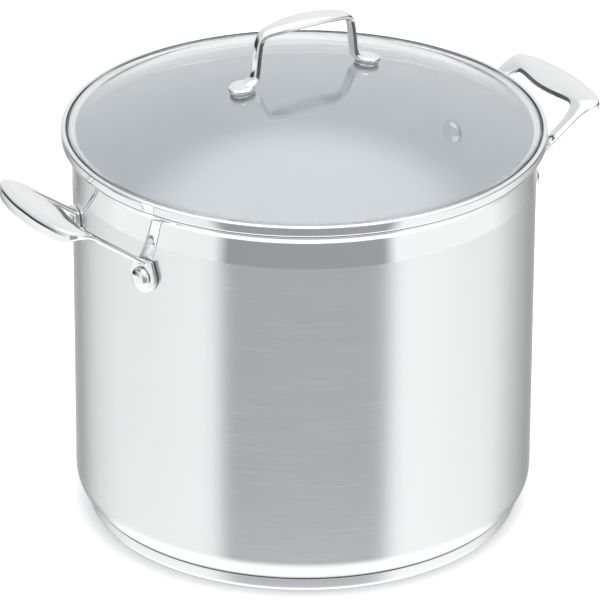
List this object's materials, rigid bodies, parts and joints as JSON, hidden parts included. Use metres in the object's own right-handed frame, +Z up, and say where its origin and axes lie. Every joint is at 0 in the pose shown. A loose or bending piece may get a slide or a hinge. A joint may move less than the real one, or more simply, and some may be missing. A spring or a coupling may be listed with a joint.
{
  "type": "water bath canner",
  "caption": "Tall round stainless steel pot with straight walls, loop side handles, a thick base and a domed glass lid with a steel band and a strap handle, for boiling filled jars.",
  "frame": {"origin": "centre of the flat underside of the base", "axes": "+Z up along the pot's axis; +X through the middle of the right side handle; the lid's handle lies along X"},
  "size_m": [0.362, 0.274, 0.298],
  "materials": {
    "satin_steel": "stainless steel, fine circumferential satin grain, polished below the lip",
    "polished_steel": "polished stainless steel",
    "cast_steel": "cast stainless steel, polished",
    "lid_band_steel": "rolled stainless steel, polished",
    "base_aluminium": "plain, hidden in the base",
    "lid_glass": "clear tempered glass",
    "silicone": "translucent white silicone rubber"
  },
  "bodies": {
    "pot": {"pot_body": "satin_steel", "base_core": "base_aluminium", "base_cap": "polished_steel", "side_handle_right": "cast_steel", "side_handle_left": "cast_steel", "rivet_right_rear": "polished_steel", "rivet_right_front": "polished_steel", "rivet_left_rear": "polished_steel", "rivet_left_front": "polished_steel"},
    "lid": {"lid_glass": "lid_glass", "lid_band": "lid_band_steel", "lid_handle": "cast_steel", "gasket_right": "silicone", "seal_washer_right": "silicone", "steel_washer_right": "polished_steel", "lid_screw_right": "polished_steel", "gasket_left": "silicone", "seal_washer_left": "silicone", "steel_washer_left": "polished_steel", "lid_screw_left": "polished_steel"}
  },
  "joints": [
    {"name": "lid_lift", "type": "slide", "parent": "pot", "child": "lid", "axis": [0, 0, 1], "range_m": [0, 0.25]}
  ]
}
